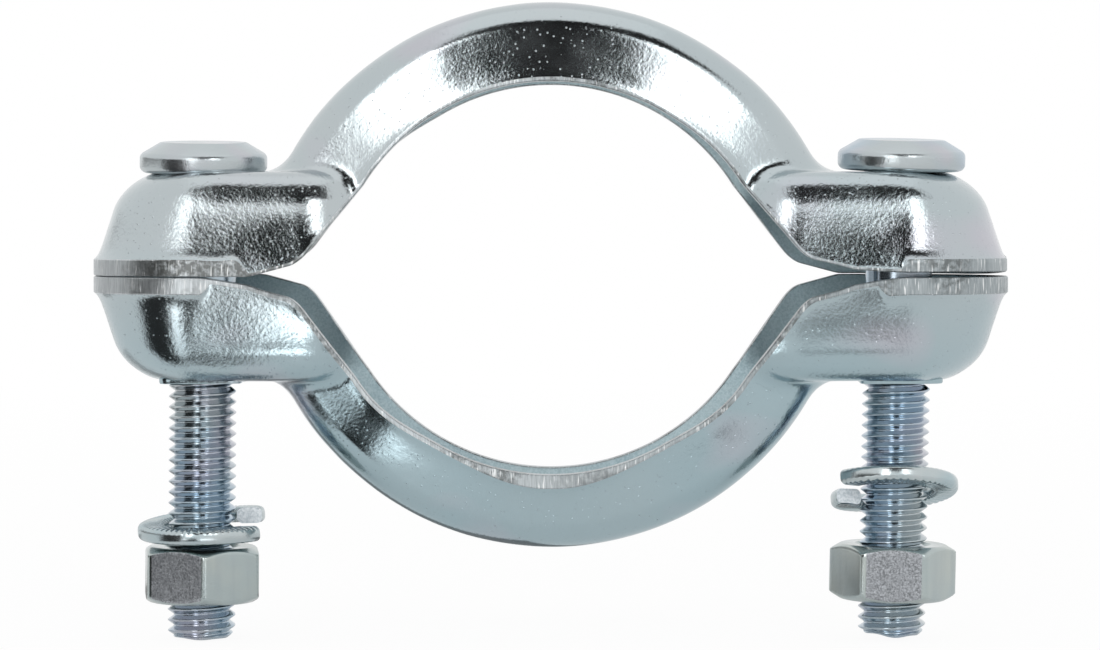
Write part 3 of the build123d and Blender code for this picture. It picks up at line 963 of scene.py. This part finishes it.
def nut_zinc(colours):
    """Satin zinc of the nuts, greenish grey, with soft upright streaks and fine grain."""
    material, shade = new_material("nut_zinc")
    drift = shade.noise(170.0).over(0.38, 0.62)
    streak = shade.noise(900.0, stretch=(1.0, 1.0, 0.08)).over(0.35, 0.7)
    tint = drift.mixed(colours.grey, (0.43, 0.49, 0.49))
    tint = (streak * 0.35).mixed(tint, (0.36, 0.41, 0.43))
    grain = shade.noise(3000.0, 3.0, 0.65)
    patches = shade.noise(110.0).over(0.42, 0.6)
    finish(tint, patches * 0.10 + 0.17, grain * (patches * 0.8 + 0.2), 16 * UM)
    return material


def nut_grain():
    """Darker zinc with a fine broken grain, on one flat of each nut."""
    material, shade = new_material("nut_grain")
    grain = shade.noise(4600.0, 3.0, 0.7)
    patches = shade.noise(700.0).over(0.35, 0.65)
    tint = grain.over(0.36, 0.64).mixed((0.16, 0.17, 0.18), (0.46, 0.48, 0.51))
    finish(tint, patches * 0.10 + 0.20, grain, 30 * UM, metallic=0.6)
    return material


# --- Operators ---------------------------------------------------------------------------
def place_on_bolt(clamp, name, height):
    """Side, lean, height and half spacing of what sits on a bolt. A leaning bolt's head
    rides up on the burr, by half the burr's width times the sine of the lean."""
    lean = getattr(clamp.bolt, "lean_" + name)
    lift = clamp.bolt.lean_rest * math.sin(lean) + clamp.pressing.gap / 2
    return -1 if name == "left" else 1, lean, height + lift, clamp.pressing.bolt_x


class CLAMP_OT_halves(bpy.types.Operator):
    """Builds the two pressed halves"""
    bl_idname = "clamp.halves"
    bl_label = "Pressed Halves"

    def execute(self, context):
        s, colours = context.scene.clamp.pressing, context.scene.clamp.colours
        materials = [pressed_zinc(colours), sheared_zinc(), inner_zinc_painted_light()]
        upper_lips = {"least": 0.35 * MM, "ear": 1.9 * MM, "ring": 0.5 * MM, "back": 37 * MM,
                      "front_left": 36 * MM, "front_right": 41.5 * MM, "scallop": 1.6 * MM,
                      "cut_left": (0, 0.8 * MM), "cut_right": (0.4 * MM, 0), "lift": 0.5 * MM,
                      "open": math.radians(2.5)}
        # The lower half is turned over afterwards, so its left here ends up on the right.
        lower_lips = {"least": 0.55 * MM, "ear": 1.9 * MM, "ring": 1.6 * MM, "back": 37 * MM,
                      "front_left": 38.6 * MM, "front_right": 40.2 * MM, "scallop": 1.4 * MM,
                      "cut_left": (MM, 0), "cut_right": (MM, 0), "lift": 0, "open": 0.0}
        upper = Pressing(s, s.rim_upper, s.crown_upper, upper_lips, 3)
        lower = Pressing(s, s.rim_lower, s.crown, lower_lips, 8)
        for name, shape in (("upper", upper), ("lower", lower)):
            piece = half_piece(name + "_pressing", shape, shape is lower, materials)
            declare(piece, name + "_half", "clamp_half_" + name)
        return {"FINISHED"}


class CLAMP_OT_bolts(bpy.types.Operator):
    """Builds the two threaded bolts"""
    bl_idname = "clamp.bolts"
    bl_label = "Bolts"

    def execute(self, context):
        clamp = context.scene.clamp
        s, materials = clamp.bolt, [bolt_zinc(clamp.colours)]
        for name, wave, drop in (("left", 0.15 * MM, s.drop), ("right", 0.3 * MM, 0)):
            place = place_on_bolt(clamp, name, s.seat - drop)
            piece = bolt_piece("threaded_bolt_" + name, s, place, wave, materials)
            declare(piece, "upper_half", "bolt_" + name)
        return {"FINISHED"}


class CLAMP_OT_washers(bpy.types.Operator):
    """Builds the two spring washers"""
    bl_idname = "clamp.washers"
    bl_label = "Spring Washers"

    def execute(self, context):
        clamp = context.scene.clamp
        s, materials = clamp.washer, [washer_zinc(), cut_zinc()]
        foot = clamp.bolt.seat - clamp.bolt.reach + clamp.nut.height
        # Height over the left or right nut's plain place, then start, tilt and roll.
        rows = (("left", clamp.bolt.stands_left + s.rise_left, (-22, 1.5, -4),
                 {"count": 60, "slant": 1.5, "top": 1.0, "bottom": 0.2}),
                ("right", clamp.bolt.stands_right + s.rise_right, (201, -15, -3),
                 {"count": 52, "slant": 1.2, "top": 0.2, "bottom": 1.0}))
        for name, height, angles, grooves in rows:
            place = place_on_bolt(clamp, name, foot + height)
            piece = washer_piece("split_washer_" + name, s, *map(math.radians, angles), place,
                                 grooves, materials)
            declare(piece, "washer_" + name, "spring_washer_" + name)
        return {"FINISHED"}


class CLAMP_OT_nuts(bpy.types.Operator):
    """Builds the two hexagon nuts"""
    bl_idname = "clamp.nuts"
    bl_label = "Nuts"

    def execute(self, context):
        clamp = context.scene.clamp
        s, bolt, materials = clamp.nut, clamp.bolt, [nut_zinc(clamp.colours), nut_grain()]
        end = bolt.seat - bolt.reach
        for name, height, corner in (("left", bolt.stands_left - s.drop, s.corner_left),
                                     ("right", bolt.stands_right, s.corner_right)):
            place = place_on_bolt(clamp, name, end + height)
            piece = nut_piece("plain_nut_" + name, s, corner, place, materials)
            declare(piece, "nut_" + name, "hex_nut_" + name)
        return {"FINISHED"}


class CLAMP_OT_stage(bpy.types.Operator):
    """Builds the floor, lamps, world and camera"""
    bl_idname = "clamp.stage"
    bl_label = "Stage"

    def execute(self, context):
        s = context.scene.clamp.stage
        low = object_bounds()[0][2]
        self.camera(context, s)
        self.floor(low)
        self.light(s, low)
        self.world(context)
        context.scene.view_settings.view_transform = "Standard"
        return {"FINISHED"}

    def camera(self, context, s):
        """Long lens on the clamp's front, a little above its middle."""
        data = bpy.data.cameras.new("camera")
        data.sensor_width, data.lens = SENSOR_WIDTH, s.lens
        data.shift_x, data.shift_y = s.shift_x, s.shift_y
        data.clip_start, data.clip_end = CLIPS
        camera = placed("camera", data)
        camera.location = (0, -s.distance * math.cos(s.height), s.distance * math.sin(s.height))
        camera.rotation_euler = (math.pi / 2 - s.height, 0, 0)
        context.scene.camera = camera

    def floor(self, low):
        """Pale floor just under the bolts' ends, white where it is looked at or mirrored."""
        material, shade = new_material("pale_floor")
        mirrored = shade.ray("Glossy") + shade.ray("Transmission")
        seen = shade.ray("Camera") + mirrored * FLOOR_MIRRORED
        plain = shade.node("BsdfDiffuse", {}, {"Color": rgba((0.88, 0.88, 0.88))})
        white = shade.node("Emission", {}, {"Color": WHITE, "Strength": 1.0})
        spot = shade.node("VectorMath", {"operation": "LENGTH"}, {0: shade.place()}, "Value")
        share = spot.over(*FLOOR_FADES) * (1 - FLOOR_NEAR) + FLOOR_NEAR
        shade.node("MixShader", {}, {0: seen * share, 1: plain, 2: white}).show()
        corners = [(x * FLOOR_REACH, y * FLOOR_REACH, low - FLOOR_DROP)
                   for x, y in ((-1, -1), (1, -1), (1, 1), (-1, 1))]
        placed("floor", new_mesh("floor", corners, [(0, 1, 2, 3)], [material]))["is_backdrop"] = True

    @staticmethod
    def heading(azimuth, elevation):
        """Direction from the clamp. Azimuth 0 is in front of it, and 90 to its right."""
        a, e = math.radians(azimuth), math.radians(elevation)
        return Vector((math.sin(a) * math.cos(e), -math.cos(a) * math.cos(e), math.sin(e)))

    def lamp(self, name, brightness, size, place, heading):
        """Soft rectangular lamp at a place, shining against a heading. Its power is its
        brightness times pi times its area."""
        data = bpy.data.lights.new(name, "AREA")
        data.shape = "RECTANGLE"
        data.size, data.size_y = size
        data.energy = brightness * math.pi * size[0] * size[1]
        lamp = placed(name, data)
        lamp.location = place
        lamp.rotation_euler = heading.to_track_quat("Z", "Y").to_euler()
        lamp.visible_camera = False

    def card(self, name, level, points, faces):
        """Matt grey card that shows only in the metal's gloss."""
        material, shade = new_material(name)
        shade.node("BsdfPrincipled", {}, {"Base Color": rgba((level, level, level)),
                                          "Roughness": 1.0, "Specular IOR Level": 0.0}).show()
        card = placed(name, new_mesh(name, points, faces, [material]))
        card.visible_camera = card.visible_diffuse = card.visible_shadow = False
        card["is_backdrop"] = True

    def bent(self, azimuths, elevations, steps=12):
        """Points and faces of a patch of a ball about the clamp, between two azimuths and
        two elevations."""
        points = [self.heading(turn, rise) * AWAY for rise in np.linspace(*elevations, steps)
                  for turn in np.linspace(*azimuths, steps)]
        corners = [row * steps + column for row in range(steps - 1) for column in range(steps - 1)]
        return points, [(at, at + 1, at + steps + 1, at + steps) for at in corners]

    def light(self, s, low):
        """A lamp each side of the camera, a weak one overhead and small ones on the floor,
        and the cards that give the metal its darks: over the camera, all round above it, on
        the left, and on the floor."""
        # Sizes and headings in degrees.
        for name, brightness, size, heading in (
                ("lamp_left", s.side_light, (13.6, 46), (-20.2, 22)),
                ("lamp_right", s.side_light, (13, 28), (20.5, 27)),
                ("lamp_top", s.top_light, (45, 45), (0, 88))):
            size = [2 * AWAY * math.tan(math.radians(across / 2)) for across in size]
            heading = self.heading(*heading)
            self.lamp(name, brightness, size, heading * AWAY, heading)
        for name, level, azimuths, elevations in (
                ("card_over", 0.012, (-15.4, 15.4), (25, 62)),
                ("card_high", 0.02, (-26, 48), (41, 62)),
                ("card_left", 0.04, (-76, -30), (-2, 13)),
                ("card_far_left", 0.42, (-135, -79), (-2, 12))):
            self.card(name, level, *self.bent(azimuths, elevations))
        # Sizes and places in millimetres.
        for name, size, (x, y) in (("lamp_floor_front", (26, 32), (-27, -64)),
                                   ("lamp_floor_left", (12, 18), (-66, -58))):
            self.lamp(name, s.floor_light, (size[0] * MM, size[1] * MM),
                      (x * MM, y * MM, low + LAMP_RISE), Vector((0, 0, 1)))
        for name, level, corners in (
                ("left", 0.04, ((-56, -22), (-66, -8), (-1940, -484), (-1000, -1732))),
                ("front", 0.02, ((-60, -100), (-40, -100), (-40, -32), (-60, -32))),
                ("right", 0.30, ((24, -72), (44, -72), (44, -54), (24, -54))),
                ("behind", 0.34, ((-4, 1), (8, 22), (-102, 81), (-114, 59)))):
            points = [(x * MM, y * MM, low) for x, y in corners]
            self.card("card_floor_" + name, level, points, [(0, 1, 2, 3)])

    def world(self, context):
        """White to the eye and in mirrors, a plain light level for the rest."""
        world = bpy.data.worlds.new("studio")
        shade = emptied(world)
        seen = shade.ray("Camera") + shade.ray("Glossy") + shade.ray("Transmission")
        level = seen.over(0.0, 1.0) * (1 - WORLD_LEVEL) + WORLD_LEVEL
        shade.node("Background", {}, {"Color": WHITE, "Strength": level}).show("World")
        context.scene.world = world


class CLAMP_PT_panel(bpy.types.Panel):
    """Lists the clamp's pieces"""
    bl_idname = "CLAMP_PT_panel"
    bl_label = "Pipe Clamp"
    bl_space_type = "VIEW_3D"
    bl_region_type = "UI"
    bl_category = "Clamp"

    def draw(self, context):
        for operator in OPERATORS:
            self.layout.operator(operator.bl_idname)
        clamp = context.scene.clamp
        for name in clamp.bl_rna.properties.keys():
            sizes = getattr(clamp, name)
            if isinstance(sizes, bpy.types.PropertyGroup):
                box = self.layout.box()
                for prop in sizes.bl_rna.properties.keys():
                    if prop not in ("rna_type", "name"):
                        box.prop(sizes, prop)


class ClampSettings(bpy.types.PropertyGroup):
    """All the clamp's groups."""
    pressing: group(PressingSizes, "Pressing", "Halves")
    bolt: group(BoltSizes, "Bolt", "Bolts")
    washer: group(WasherSizes, "Washer", "Washers")
    nut: group(NutSizes, "Nut", "Nuts")
    colours: group(FinishColours, "Colours", "Plating")
    stage: group(StageSettings, "Stage", "Stage")


OPERATORS = (CLAMP_OT_halves, CLAMP_OT_bolts, CLAMP_OT_washers, CLAMP_OT_nuts, CLAMP_OT_stage)
CLASSES = (PressingSizes, BoltSizes, WasherSizes, NutSizes, FinishColours, StageSettings,
           ClampSettings, *OPERATORS, CLAMP_PT_panel)


def register():
    """Adds the classes and the scene's settings."""
    for item in CLASSES:
        bpy.utils.register_class(item)
    bpy.types.Scene.clamp = group(ClampSettings, "Clamp", "Pipe clamp")


def unregister():
    """Takes them away again."""
    del bpy.types.Scene.clamp
    for item in reversed(CLASSES):
        bpy.utils.unregister_class(item)


def main():
    """Builds everything."""
    register()
    bpy.ops.clamp.halves()
    bpy.ops.clamp.bolts()
    bpy.ops.clamp.washers()
    bpy.ops.clamp.nuts()
    bpy.ops.clamp.stage()


if __name__ == "__main__":
    main()
